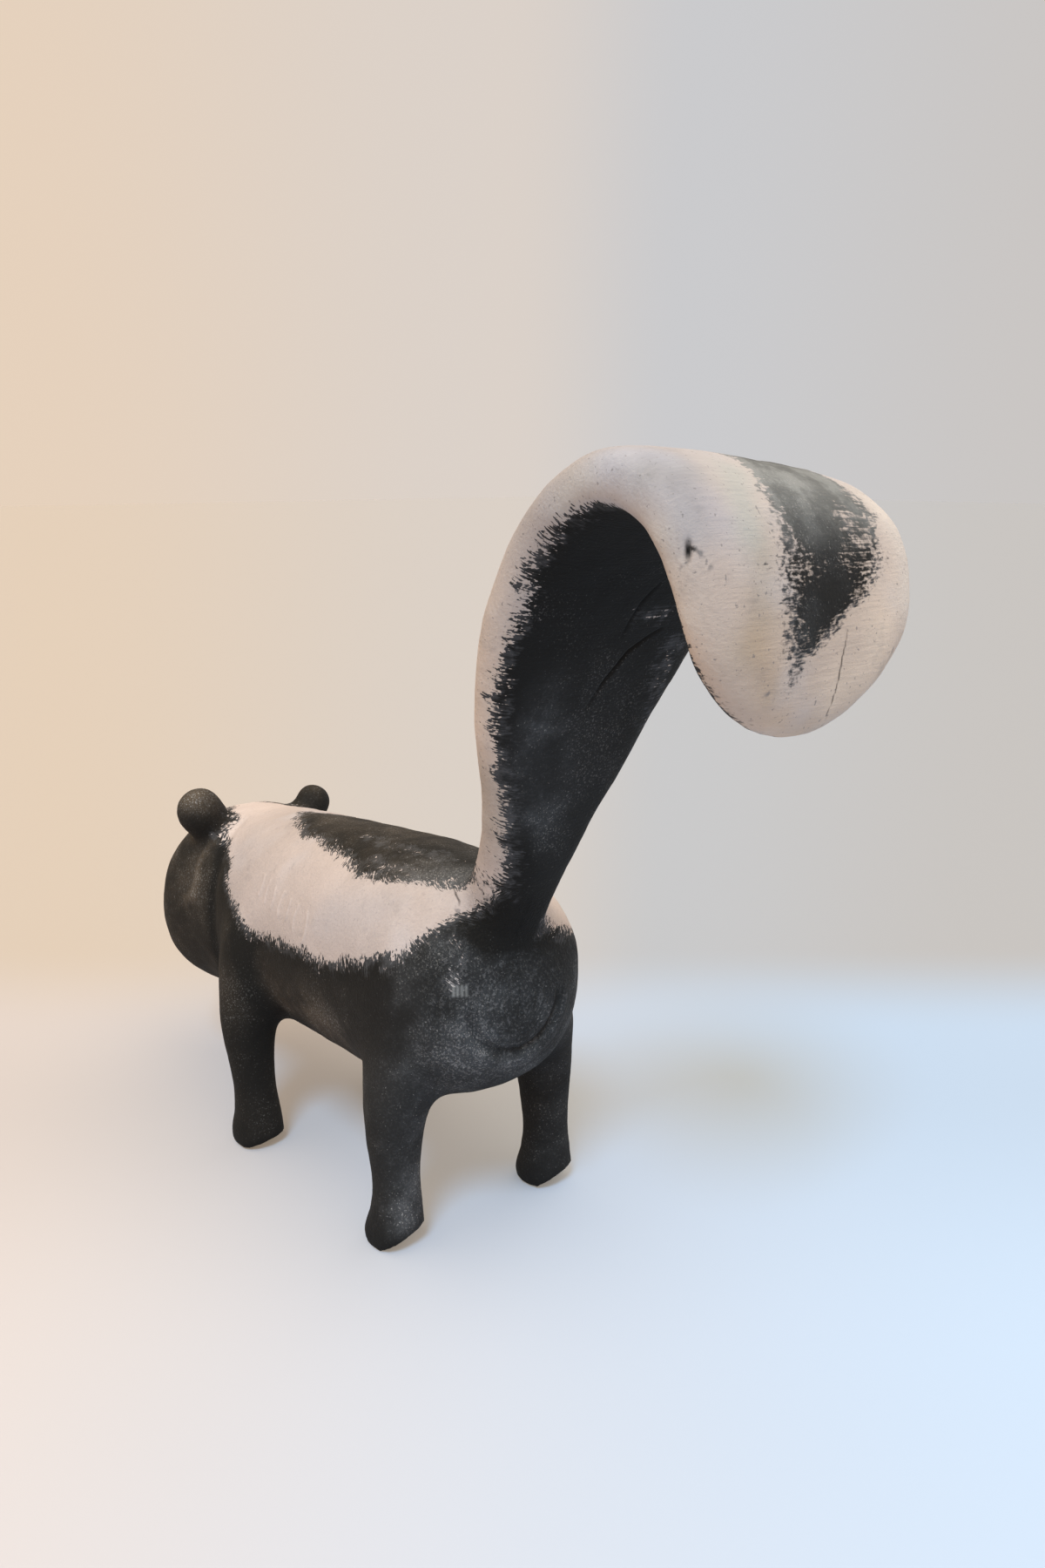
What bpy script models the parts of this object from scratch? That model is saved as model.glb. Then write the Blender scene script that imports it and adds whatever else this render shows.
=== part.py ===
"""Carved wooden skunk on four stubby legs, its strap of a tail arched up and over behind it.

The skunk faces -Y, its left side is +X and +Z is up. Sizes are in metres, and the soles stand on Z = 0.
Body, head, ears, legs and tail were carved from one block, so they are one solid here: each form is
lofted from rings, the forms are run together and their joins rounded, and the soles are cut last.
"""

import math

import bmesh
import bpy
from mathutils import Vector

# Driving sizes
HEIGHT = 0.456                       # ground to the middle of the tail's crest
BODY_LENGTH = 0.9485 * HEIGHT        # nose to rump
BODY_WIDTH = 0.304 * HEIGHT          # flank to flank
BODY_DEPTH = 0.326 * HEIGHT          # back to belly
EAR_WIDTH = 0.074 * HEIGHT           # one ear, side to side
ANKLE_WIDTH = 0.065 * HEIGHT         # one leg at its narrowest
TAIL_WIDTH = 0.354 * HEIGHT          # strap of the tail at its widest
TAIL_THICKNESS = 0.062 * HEIGHT      # strap of the tail through its middle

# Places
NOSE_Y = -0.6835 * HEIGHT            # tip of the nose along Y
ANKLES = {                           # middle of each ankle along X and Y
    ("left", "front"): (0.136 * HEIGHT, -0.212 * HEIGHT),
    ("right", "front"): (-0.132 * HEIGHT, -0.215 * HEIGHT),
    ("left", "rear"): (0.119 * HEIGHT, 0.1325 * HEIGHT),
    ("right", "rear"): (-0.130 * HEIGHT, 0.141 * HEIGHT),
}
LEG_LEAN = {                                 # lean forward and toward the belly for each unit of height
    ("left", "front"): (0.08, 0.0),
    ("right", "front"): (0.06, 0.0),
    ("left", "rear"): (-0.036, 0.0),
    ("right", "rear"): (0.0, 0.03),
}
EARS = {                                     # middle of each ear, and its size beside EAR_WIDTH
    "left": (Vector((0.1025, -0.427, 0.4655)) * HEIGHT, 1.06),
    "right": (Vector((-0.0965, -0.419, 0.450)) * HEIGHT, 0.85),
}

# Soles
BALL_OF_FOOT = -0.006 * HEIGHT               # line where a sole leaves the ground, from the ankle
HEEL_RISE = {                                # slope of each sole behind that line, in degrees
    ("left", "front"): 20,
    ("right", "front"): 20,
    ("left", "rear"): 33,
    ("right", "rear"): 32,
}
HEEL_TURN = -28                              # way the sole rises, in degrees from +Y toward the right flank

# Fineness of the form
RING_POINTS = 32
STEPS_BETWEEN_STATIONS = 6
BLEND_GRID = 0.0032                          # grid on which the forms are run together
BLEND_ROUNDS = 26                            # rounds of smoothing that round the joins
CRISP_SHARE = 0.2                            # share of those rounds on the feet and the ears
FOOT_TOP = 0.045 * HEIGHT                    # below this height a foot keeps its crisp form
CRISP_REACH = 0.55 * EAR_WIDTH               # and so does an ear within this reach of its middle
CRISP_FADE = 0.05 * HEIGHT                   # way over which the smoothing comes back
SHARE_OF_FACETS_KEPT = 0.089                 # flat stretches need few facets

X_AXIS = Vector((1, 0, 0))
Y_AXIS = Vector((0, 1, 0))
Z_AXIS = Vector((0, 0, 1))


def row_at(stations, place):
    """Values at a place counted in stations, on a smooth curve through every station."""
    last = len(stations) - 1
    index = min(int(place), last - 1)
    share = place - index
    before = stations[max(index - 1, 0)]
    start = stations[index]
    end = stations[index + 1]
    after = stations[min(index + 2, last)]
    row = []
    for a, b, c, d in zip(before, start, end, after):
        row.append(0.5 * (2 * b + (c - a) * share
                          + (2 * a - 5 * b + 4 * c - d) * share ** 2
                          + (3 * b - a - 3 * c + d) * share ** 3))
    return row


def ring_places(stations):
    """Places of all the rings: each station, and equal steps between it and the next."""
    count = (len(stations) - 1) * STEPS_BETWEEN_STATIONS
    return [step / STEPS_BETWEEN_STATIONS for step in range(count + 1)]


def add_ring(bm, centre, side, up, half_side, half_up, squareness):
    """One ring round a centre: an oval at squareness 2, nearer a rounded rectangle above it."""
    ring = bmesh.ops.create_circle(bm, segments=RING_POINTS, radius=1)["verts"]
    for vert in ring:
        across = math.copysign(abs(vert.co.x) ** (2 / squareness), vert.co.x)
        along = math.copysign(abs(vert.co.y) ** (2 / squareness), vert.co.y)
        vert.co = centre + side * (half_side * across) + up * (half_up * along)
    return ring


def closed_loft(name, bm, rings):
    """Body through a row of rings, closed over its first and last ring."""
    for near, far in zip(rings, rings[1:]):
        for step in range(RING_POINTS):
            after = (step + 1) % RING_POINTS
            bm.faces.new((near[step], near[after], far[after], far[step]))
    bm.faces.new(rings[0])
    bm.faces.new(rings[-1])
    bmesh.ops.recalc_face_normals(bm, faces=bm.faces)
    return object_from(name, bm)


def object_from(name, bm):
    """New object of the scene that holds a finished mesh."""
    mesh = bpy.data.meshes.new(name)
    bm.to_mesh(mesh)
    bm.free()
    made = bpy.data.objects.new(name, mesh)
    bpy.context.scene.collection.objects.link(made)
    return made


def torso():
    """Nose, snout, head, neck, barrel and rump in one run of rings."""
    # columns: share of the length from the nose, height of the middle in shares of HEIGHT,
    # half width in shares of BODY_WIDTH, half depth in shares of BODY_DEPTH
    stations = [
        (0.000, 0.246, 0.040, 0.036),    # tip of the nose
        (0.014, 0.248, 0.125, 0.110),    # nose
        (0.038, 0.250, 0.170, 0.150),
        (0.075, 0.254, 0.245, 0.222),    # muzzle
        (0.130, 0.272, 0.375, 0.335),    # brow
        (0.201, 0.2955, 0.467, 0.463),   # cheeks
        (0.281, 0.304, 0.436, 0.470),    # neck
        (0.412, 0.318, 0.447, 0.479),    # shoulders
        (0.591, 0.330, 0.474, 0.490),    # ribs
        (0.759, 0.341, 0.500, 0.494),    # flanks
        (0.886, 0.343, 0.490, 0.455),    # hips
        (0.958, 0.342, 0.382, 0.356),    # rump
        (0.992, 0.342, 0.197, 0.184),
        (1.000, 0.340, 0.039, 0.037),
    ]
    bm = bmesh.new()
    rings = []
    for place in ring_places(stations):
        run, height, half_width, half_depth = row_at(stations, place)
        centre = Vector((0, NOSE_Y + run * BODY_LENGTH, height * HEIGHT))
        rings.append(add_ring(bm, centre, X_AXIS, Z_AXIS,
                              half_width * BODY_WIDTH, half_depth * BODY_DEPTH, 2.25))
    return closed_loft("torso", bm, rings)


def leg(flank, end):
    """Stubby leg: thick where it enters the body, a narrow ankle, a rounded toe and a square heel."""
    # columns: height in shares of HEIGHT, then in shares of ANKLE_WIDTH the reach forward,
    # the reach back, the half width and the step toward the belly, then the squareness
    stations = [
        (-0.020, 0.55, 0.50, 0.48, 0.00, 2.5),
        (0.010, 0.69, 0.55, 0.58, 0.00, 2.6),     # foot
        (0.026, 0.66, 0.55, 0.57, 0.00, 2.6),
        (0.042, 0.53, 0.53, 0.52, 0.00, 2.5),
        (0.070, 0.49, 0.52, 0.50, 0.00, 2.4),     # ankle
        (0.110, 0.52, 0.51, 0.53, -0.02, 2.3),
        (0.170, 0.63, 0.57, 0.63, -0.02, 2.2),
        (0.220, 0.78, 0.74, 0.70, 0.06, 2.2),     # thigh
        (0.300, 1.03, 0.96, 0.76, 0.33, 2.2),
        (0.360, 0.81, 0.74, 0.65, 0.55, 2.2),
    ]
    ankle_x, ankle_y = ANKLES[flank, end]
    outward = 1 if flank == "left" else -1
    lean_forward, lean_inward = LEG_LEAN[flank, end]
    bm = bmesh.new()
    rings = []
    for place in ring_places(stations):
        height, forward, back, half_width, inward, squareness = row_at(stations, place)
        z = height * HEIGHT
        x = ankle_x - outward * (inward * ANKLE_WIDTH + lean_inward * z)
        y = ankle_y + (back - forward) / 2 * ANKLE_WIDTH - lean_forward * z
        half_length = (back + forward) / 2 * ANKLE_WIDTH
        rings.append(add_ring(bm, Vector((x, y, z)), X_AXIS, Y_AXIS,
                              half_width * ANKLE_WIDTH, half_length, squareness))
    return closed_loft("leg", bm, rings)


def ear(flank):
    """Thick round ear that leans outward on a short neck."""
    # columns, in shares of the ear's own width: reach up the ear, half width, half thickness
    stations = [
        (-0.88, 0.46, 0.41),
        (-0.45, 0.44, 0.40),
        (-0.22, 0.48, 0.42),
        (0.00, 0.50, 0.44),
        (0.22, 0.45, 0.39),
        (0.38, 0.29, 0.25),
        (0.455, 0.06, 0.06),
    ]
    middle, size = EARS[flank]
    width = size * EAR_WIDTH
    reach = Vector((0.55 if flank == "left" else -0.55, -0.10, 0.83)).normalized()
    across = (X_AXIS - reach * reach.x).normalized()
    through = reach.cross(across)
    bm = bmesh.new()
    rings = []
    for place in ring_places(stations):
        up, half_width, half_thick = row_at(stations, place)
        rings.append(add_ring(bm, middle + reach * (up * width), across, through,
                              half_width * width, half_thick * width, 2))
    return closed_loft("ear", bm, rings)


def tail():
    """Strap that rises from the rump, widens, arches over backward and hangs as a rounded paddle."""
    # columns: middle along Y and Z in shares of HEIGHT, middle along X and half width in shares of
    # TAIL_WIDTH, half thickness in shares of TAIL_THICKNESS, and how far the right edge dips, in degrees
    stations = [
        (0.147, 0.370, 0.000, 0.141, 0.87, 0),
        (0.219, 0.470, 0.006, 0.136, 0.81, 0),    # root, narrow and round
        (0.267, 0.560, 0.011, 0.189, 0.69, 0),
        (0.302, 0.650, 0.000, 0.288, 0.61, 0),
        (0.339, 0.740, 0.006, 0.387, 0.56, 0),
        (0.390, 0.840, 0.000, 0.460, 0.53, 1),
        (0.460, 0.925, -0.011, 0.486, 0.54, 4),
        (0.549, 0.965, -0.008, 0.500, 0.53, 6),   # top of the arch
        (0.619, 0.930, -0.014, 0.497, 0.52, 5),
        (0.647, 0.855, -0.016, 0.462, 0.50, 3),
        (0.649, 0.794, 0.005, 0.341, 0.45, 1),
        (0.643, 0.754, 0.014, 0.172, 0.35, 0),
        (0.641, 0.740, 0.006, 0.034, 0.16, 0),    # tip of the paddle
    ]
    bm = bmesh.new()
    rings = []
    for place in ring_places(stations):
        y, z, x, half_width, half_thick, dip = row_at(stations, place)
        ahead = row_at(stations, min(place + 0.05, len(stations) - 1))
        behind = row_at(stations, max(place - 0.05, 0))
        run = Vector((0, ahead[0] - behind[0], ahead[1] - behind[1])).normalized()
        side = X_AXIS * math.cos(math.radians(dip)) - run.cross(X_AXIS) * math.sin(math.radians(dip))
        centre = Vector((x * TAIL_WIDTH, y * HEIGHT, z * HEIGHT))
        squareness = 2.2 + 1.4 * min(place / 5, 1)
        rings.append(add_ring(bm, centre, side, run.cross(side), half_width * TAIL_WIDTH,
                              half_thick * TAIL_THICKNESS, squareness))
    return closed_loft("tail", bm, rings)


def rounds_at(place):
    """Rounds of smoothing at one place: few on the feet and the ears, all of them at the joins."""
    past_crisp = [place.z - FOOT_TOP]
    for middle, size in EARS.values():
        past_crisp.append((place - middle).length - CRISP_REACH)
    share = min(max(min(past_crisp) / CRISP_FADE, CRISP_SHARE), 1)
    return share * BLEND_ROUNDS


def run_together(name, forms):
    """One solid of all the forms, with soft hollows where they meet."""
    bm = bmesh.new()
    for form in forms:
        bm.from_mesh(form.data)
        bpy.data.objects.remove(form, do_unlink=True)
    block = object_from("block", bm)
    blend = block.modifiers.new("run the forms together", "REMESH")
    blend.mode = "VOXEL"
    blend.voxel_size = BLEND_GRID
    bm = bmesh.new()
    bm.from_object(block, bpy.context.evaluated_depsgraph_get())
    bpy.data.objects.remove(block, do_unlink=True)
    for done in range(BLEND_ROUNDS):
        softened = [vert for vert in bm.verts if rounds_at(vert.co) > done]
        bmesh.ops.smooth_vert(bm, verts=softened, factor=0.5, use_axis_x=True, use_axis_y=True, use_axis_z=True)
    carving = object_from(name, bm)
    thin = carving.modifiers.new("keep few facets", "DECIMATE")
    thin.ratio = SHARE_OF_FACETS_KEPT
    return carving


def cutter_between(name, lower, upper):
    """Guide solid between four corners and the four above them."""
    bm = bmesh.new()
    verts = [bm.verts.new(corner) for corner in lower + upper]
    for face in ((0, 1, 2, 3), (4, 5, 6, 7), (0, 1, 5, 4), (1, 2, 6, 5), (2, 3, 7, 6), (3, 0, 4, 7)):
        bm.faces.new([verts[corner] for corner in face])
    bmesh.ops.recalc_face_normals(bm, faces=bm.faces)
    cutter = object_from(name, bm)
    cutter.hide_render = True
    cutter.display_type = "WIRE"
    return cutter


def ground_cutter():
    """All that lies below the soles."""
    reach = 0.8 * HEIGHT
    depth = 0.1 * HEIGHT
    corners = ((-reach, -reach), (reach, -reach), (reach, reach), (-reach, reach))
    lower = [Vector((x, y, -depth)) for x, y in corners]
    upper = [Vector((x, y, 0)) for x, y in corners]
    return cutter_between("ground_cutter", lower, upper)


def heel_cutter(flank, end):
    """Wedge under one heel: the sole leaves the ground at the ball of the foot and rises behind it."""
    turn = math.radians(HEEL_TURN)
    back = Vector((math.sin(turn), math.cos(turn), 0))
    along = Vector((back.y, -back.x, 0))
    reach = 0.07 * HEIGHT
    drop = Vector((0, 0, -0.04 * HEIGHT))
    climb = Vector((0, 0, reach * math.tan(math.radians(HEEL_RISE[flank, end]))))
    ball = Vector((*ANKLES[flank, end], 0)) + back * BALL_OF_FOOT
    corners = (ball - along * reach, ball + along * reach,
               ball + along * reach + back * reach, ball - along * reach + back * reach)
    lower = [corner + drop for corner in corners]
    upper = [corners[0], corners[1], corners[2] + climb, corners[3] + climb]
    return cutter_between("heel_cutter", lower, upper)


def cut_away(body, cutter):
    """Take a guide solid out of a body."""
    cut = body.modifiers.new("cut by " + cutter.name, "BOOLEAN")
    cut.operation = "DIFFERENCE"
    cut.solver = "EXACT"
    cut.object = cutter


def painted_wood():
    """Wood under matt charcoal paint."""
    material = bpy.data.materials.new("painted_wood")
    material.use_nodes = True
    shader = material.node_tree.nodes["Principled BSDF"]
    shader.inputs["Base Color"].default_value = (0.030, 0.030, 0.032, 1)
    shader.inputs["Roughness"].default_value = 0.8
    shader.inputs["Metallic"].default_value = 0.0
    return material


for old in list(bpy.data.objects):
    bpy.data.objects.remove(old, do_unlink=True)

forms = [torso(), tail()]
for flank in EARS:
    forms.append(ear(flank))
for flank, end in ANKLES:
    forms.append(leg(flank, end))
skunk = run_together("skunk", forms)

cut_away(skunk, ground_cutter())
for flank, end in ANKLES:
    cut_away(skunk, heel_cutter(flank, end))

skunk.data.materials.append(painted_wood())
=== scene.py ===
import math

import bpy
import numpy as np
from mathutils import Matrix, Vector


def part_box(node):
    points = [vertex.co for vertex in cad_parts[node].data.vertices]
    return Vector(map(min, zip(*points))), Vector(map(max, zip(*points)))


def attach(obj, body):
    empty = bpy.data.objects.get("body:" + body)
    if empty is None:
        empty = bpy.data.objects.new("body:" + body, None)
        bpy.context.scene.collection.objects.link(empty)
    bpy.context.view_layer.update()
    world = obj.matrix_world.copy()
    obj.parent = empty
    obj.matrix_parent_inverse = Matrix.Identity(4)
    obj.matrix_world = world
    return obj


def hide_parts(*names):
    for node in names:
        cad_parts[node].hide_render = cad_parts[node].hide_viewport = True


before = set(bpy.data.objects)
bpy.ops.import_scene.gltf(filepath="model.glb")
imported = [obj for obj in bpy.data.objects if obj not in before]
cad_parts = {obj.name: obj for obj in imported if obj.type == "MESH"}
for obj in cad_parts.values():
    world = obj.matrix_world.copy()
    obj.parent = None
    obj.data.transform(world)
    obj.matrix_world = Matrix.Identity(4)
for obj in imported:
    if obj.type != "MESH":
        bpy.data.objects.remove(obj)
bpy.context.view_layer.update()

# The view: behind the figure and to its left, from a little above its back, as a
# person standing at the table would hold a phone.
VIEW_PLACE = (0.4217, 0.6281, 0.4500)
VIEW_HEADING = math.radians(-129.30)
VIEW_PITCH = math.radians(14.04)
PICTURE_HEIGHT = 36.0
LENS = 29.12
camera_data = bpy.data.cameras.new("view_from_behind")
camera_data.sensor_fit = "VERTICAL"
camera_data.sensor_height = PICTURE_HEIGHT
camera_data.lens = LENS
camera_data.clip_start = 0.01
camera = bpy.data.objects.new("view_from_behind", camera_data)
camera.location = VIEW_PLACE
camera.rotation_euler = (math.pi / 2 - VIEW_PITCH, 0, VIEW_HEADING - math.pi / 2)
bpy.context.scene.collection.objects.link(camera)
bpy.context.scene.camera = camera


# The skunk: one block of wood, carved with gouges, sanded soft and painted with a stiff
# brush. Its form is the frame's own solid. The gouge marks, cracks, eyes and the paint's
# ragged edges are added here.
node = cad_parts["skunk"]
low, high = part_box("skunk")
LENGTH = high.y - low.y
MM = 0.001
GRID = 2.4 * MM
FOOT_TOP = 28 * MM
FOOT_SANDING = 0.12
SANDING_PASSES = 8
SANDED_AWAY = 0.14 * MM

bpy.ops.object.select_all(action="DESELECT")
skunk = bpy.data.objects.new("painted_skunk", node.data.copy())
skunk.data.name = "painted_skunk"
skunk.data.materials.clear()
bpy.context.scene.collection.objects.link(skunk)
bpy.context.view_layer.objects.active = skunk
skunk.select_set(True)


def finish_with(kind, name, **settings):
    """Adds a modifier to the skunk and applies it."""
    step = skunk.modifiers.new(name, kind)
    for key, value in settings.items():
        setattr(step, key, value)
    bpy.ops.object.modifier_apply(modifier=step.name)


bpy.ops.object.mode_set(mode="EDIT")
bpy.ops.mesh.select_all(action="SELECT")
bpy.ops.mesh.remove_doubles(threshold=0.001 * MM)
bpy.ops.object.mode_set(mode="OBJECT")
finish_with("SUBSURF", "round off the facets", levels=1, render_levels=1)
finish_with("REMESH", "even skin", mode="VOXEL", voxel_size=GRID)
sanding = skunk.vertex_groups.new(name="sanded")
for vertex in skunk.data.vertices:
    sanding.add([vertex.index], 1.0 if vertex.co.z > FOOT_TOP else FOOT_SANDING, "REPLACE")
finish_with("SMOOTH", "sanded", factor=0.5, iterations=SANDING_PASSES, vertex_group="sanded")
finish_with("DISPLACE", "skin put back after sanding", mid_level=0.0, strength=SANDED_AWAY)

# Gouge marks: broad shallow hollows all over, and a finer unevenness under the paint, each
# with its width and its depth.
GOUGES = [("broad gouges", 32 * MM, 1.6 * MM), ("fine gouges", 11 * MM, 0.5 * MM)]
for name, width, depth in GOUGES:
    marks = bpy.data.textures.new(name, "CLOUDS")
    marks.noise_scale = width
    marks.noise_depth = 1
    finish_with("DISPLACE", name, texture=marks, texture_coords="LOCAL", mid_level=0.5, strength=depth)


def points_of(mesh):
    found = np.empty(len(mesh.vertices) * 3, np.float32)
    mesh.vertices.foreach_get("co", found)
    return found.reshape(-1, 3).astype(float)


def normals_of(mesh):
    found = np.empty(len(mesh.vertices) * 3, np.float32)
    mesh.vertex_normals.foreach_get("vector", found)
    return found.reshape(-1, 3).astype(float)


def distance_to_path(points, path):
    """Distance from every point to a chain of straight stretches, and how far along the
    chain the nearest place is, both in the chain's own units."""
    path = np.asarray(path, float)
    nearest = np.full(len(points), 1e9)
    along = np.zeros(len(points))
    run = 0.0
    for start, end in zip(path[:-1], path[1:]):
        reach = end - start
        length = np.linalg.norm(reach)
        share = np.clip((points - start) @ reach / length ** 2, 0, 1)
        away = np.linalg.norm(points - start - share[:, None] * reach, axis=1)
        closer = away < nearest
        nearest = np.where(closer, away, nearest)
        along = np.where(closer, run + share * length, along)
        run += length
    return nearest, along


def smooth_step(low_end, high_end, value):
    share = np.clip((value - low_end) / (high_end - low_end), 0, 1)
    return share * share * (3 - 2 * share)


# Drying cracks inside the tail's arch, a nick and a hair crack on its hanging end, and a
# crack where the back meets the tail, each with its half width and depth.
LONG_CRACK = [(-0.0248, 0.1896, 0.3729), (-0.0091, 0.1835, 0.3625), (0.0012, 0.1756, 0.3462),
              (0.0061, 0.1704, 0.3343)]
SHORT_CRACK = [(-0.0060, 0.2073, 0.3980), (-0.0013, 0.1997, 0.3884), (0.0002, 0.1887, 0.3719)]
HAIR_CRACK = [(-0.0129, 0.3089, 0.3845), (-0.0101, 0.3092, 0.3733), (-0.0092, 0.3087, 0.3661),
              (-0.0077, 0.3074, 0.3569), (-0.0068, 0.3055, 0.3501), (-0.0089, 0.3012, 0.3432)]
NICK = [(0.0717, 0.2976, 0.4236), (0.0722, 0.2979, 0.4192), (0.0725, 0.2981, 0.4160)]
NICK_CORNER = [(0.0717, 0.2979, 0.4216), (0.0696, 0.3000, 0.4196)]
BACK_CRACK = [(0.0212, 0.0775, 0.2203), (0.0242, 0.0836, 0.2180), (0.0257, 0.0889, 0.2157),
              (0.0268, 0.0903, 0.2140)]
CRACKS = [(LONG_CRACK, 1.1 * MM, 1.8 * MM), (BACK_CRACK, 0.9 * MM, 0.6 * MM),
          (SHORT_CRACK, 0.9 * MM, 1.1 * MM), (HAIR_CRACK, 0.5 * MM, 0.4 * MM),
          (NICK, 1.5 * MM, 2.0 * MM), (NICK_CORNER, 1.0 * MM, 0.7 * MM)]

# The face isn't seen in the picture, so it is plain: bead eyes cut out by a ring, a nose
# pad and a mouth line.
EYE_PLACE = Vector((0.0395, -0.2610, 0.1540))
EYE_RADIUS = 5.5 * MM
NOSE_PLACE = Vector((0.0, low.y, 0.1165))
NOSE_RADIUS = 8.5 * MM
MOUTH = [(0.0310, -0.2700, 0.0960), (0.0190, -0.2930, 0.1010), (0.0, -0.3085, 0.1030)]

# Low ridges under the white paint of the left flank, in one row. They aren't letters. Each
# has its place along and up the flank, its length and how far it bows.
STROKE_ROW = [(-0.0860, 0.1860, 0.012, 0.5), (-0.0760, 0.1850, 0.014, -0.2),
              (-0.0660, 0.1835, 0.012, 0.4), (-0.0540, 0.1830, 0.014, -0.5),
              (-0.0430, 0.1825, 0.012, 0.2), (-0.0310, 0.1800, 0.016, -0.4),
              (-0.0180, 0.1785, 0.018, 0.5)]
STROKE_HEIGHT = 0.55 * MM
STROKE_WIDTH = 1.2 * MM


def stroke_path(place_along, place_up, length, bow):
    """A bowed upright stroke on the left flank, as points on the flank's side."""
    stations = np.linspace(-0.5, 0.5, 7)
    return [(place_along + bow * length * (0.25 - share ** 2), place_up + share * length)
            for share in stations]


# A gouge went round a disc low on the rump, and the brush followed it in rings.
# Here and below a pair named for where something begins or ends holds the two ends of a ramp.
RUMP_CENTRE = (0.0070, 0.1600)
RUMP_RING = 0.0300
RUMP_BEGINS = (0.085, 0.105)
RUMP_ENDS = (0.235, 0.215)


def on_the_rump(places):
    """How far each place lies from the middle of the rump's disc, and 1 on the rump, 0 off it."""
    around = np.hypot(places[:, 0] - RUMP_CENTRE[0], places[:, 2] - RUMP_CENTRE[1])
    rear = smooth_step(*RUMP_BEGINS, places[:, 1]) * smooth_step(*RUMP_ENDS, places[:, 2])
    return around, rear


# Four strokes of thin grey paint side by side on the rump, under a smear.
FINGER_MARKS = [[(0.0436, 0.1069, 0.1756), (0.0441, 0.1076, 0.1708)],
                [(0.0419, 0.1082, 0.1756), (0.0423, 0.1087, 0.1706)],
                [(0.0398, 0.1093, 0.1754), (0.0402, 0.1099, 0.1705)],
                [(0.0376, 0.1104, 0.1752), (0.0381, 0.1112, 0.1703)]]
FINGER_MARK_WIDTH = 0.8 * MM


def near_fine_work(places):
    """True where the grid has to be finer than elsewhere."""
    found = np.zeros(len(places), bool)
    for path, width, depth in CRACKS:
        found |= distance_to_path(places, path)[0] < 2.2 * width + 1.5 * MM
    sideways = np.abs(places[:, :1])
    folded = np.concatenate([sideways, places[:, 1:]], axis=1)
    found |= np.linalg.norm(folded - np.array(EYE_PLACE), axis=1) < 1.9 * EYE_RADIUS
    found |= np.linalg.norm(places - np.array(NOSE_PLACE), axis=1) < 2.3 * NOSE_RADIUS
    found |= distance_to_path(folded, MOUTH)[0] < 3.5 * MM
    around, rear = on_the_rump(places)
    found |= (around < RUMP_RING + 6 * MM) & (rear > 0.5)
    for path in FINGER_MARKS:
        found |= distance_to_path(places, path)[0] < 5 * MM
    on_left_flank = (places[:, 0] > 0.03) & (places[:, 2] > 0.15)
    for stroke in STROKE_ROW:
        away = distance_to_path(places[:, 1:], stroke_path(*stroke))[0]
        found |= on_left_flank & (away < 2.2 * STROKE_WIDTH)
    return found


centres = np.empty(len(skunk.data.polygons) * 3, np.float32)
skunk.data.polygons.foreach_get("center", centres)
chosen = near_fine_work(centres.reshape(-1, 3).astype(float))
bpy.ops.object.mode_set(mode="EDIT")
bpy.ops.mesh.select_all(action="DESELECT")
bpy.ops.mesh.select_mode(type="FACE")
bpy.ops.object.mode_set(mode="OBJECT")
skunk.data.polygons.foreach_set("select", chosen)
bpy.ops.object.mode_set(mode="EDIT")
bpy.ops.mesh.subdivide(number_cuts=2, smoothness=0)
bpy.ops.object.mode_set(mode="OBJECT")

points = points_of(skunk.data)
normals = normals_of(skunk.data)
folded = np.concatenate([np.abs(points[:, :1]), points[:, 1:]], axis=1)
cut = np.zeros(len(points))
crack_shade = np.zeros(len(points))


def groove(distance, width, depth):
    return depth * np.exp(-(distance / width) ** 2)


# Each crack is deepest midway and fades out towards its ends.
for path, width, depth in CRACKS:
    distance, along = distance_to_path(points, path)
    whole = along.max()
    fade = np.sin(np.pi * np.clip(0.12 + 0.8 * along / whole, 0, 1))
    cut = np.maximum(cut, groove(distance, width, depth) * fade)
    crack_shade = np.maximum(crack_shade, smooth_step(1.15 * width, 0.45 * width, distance) * fade)

# A soft valley parts each cheek from the shoulder, with a ridge on its front side. Each cut
# or ridge has its half width and its depth or height.
CHEEK_VALLEY = [(0.030, -0.172, 0.204), (0.0536, -0.160, 0.180), (0.0600, -0.157, 0.150),
                (0.056, -0.158, 0.115)]
CHEEK_RIDGE = [(0.0456, -0.1765, 0.1910), (0.0532, -0.1834, 0.1767), (0.0569, -0.1813, 0.1656),
               (0.0590, -0.1839, 0.1556), (0.0603, -0.1939, 0.1473)]
VALLEY_CUT = (8.0 * MM, 3.2 * MM)
RIDGE_RISE = (4.5 * MM, 1.3 * MM)
cut += groove(distance_to_path(folded, CHEEK_VALLEY)[0], *VALLEY_CUT)
cut -= groove(distance_to_path(folded, CHEEK_RIDGE)[0], *RIDGE_RISE)

# The ring round the rump's disc is deepest below, with a lip outside it.
RING_CUT = (3.2 * MM, 2.4 * MM)
LIP_AWAY = 7.5 * MM
LIP_RISE = (4.0 * MM, 1.2 * MM)
LOW_HALF_BEGINS = (0.165, 0.150)
BRUSH_RING_PITCH = 3.1 * MM
BRUSH_RING_DEPTH = 0.28 * MM
around_rump, on_rump = on_the_rump(points)
low_half = smooth_step(*LOW_HALF_BEGINS, points[:, 2])
cut += groove(around_rump - RUMP_RING, *RING_CUT) * on_rump * low_half
cut -= groove(around_rump - RUMP_RING - LIP_AWAY, *LIP_RISE) * on_rump * low_half
brush_rings = 0.5 + 0.5 * np.cos(around_rump / BRUSH_RING_PITCH * 2 * np.pi)
on_disc = on_rump * smooth_step(RUMP_RING + 2 * MM, RUMP_RING - 5 * MM, around_rump)
cut += BRUSH_RING_DEPTH * brush_rings * on_disc

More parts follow.
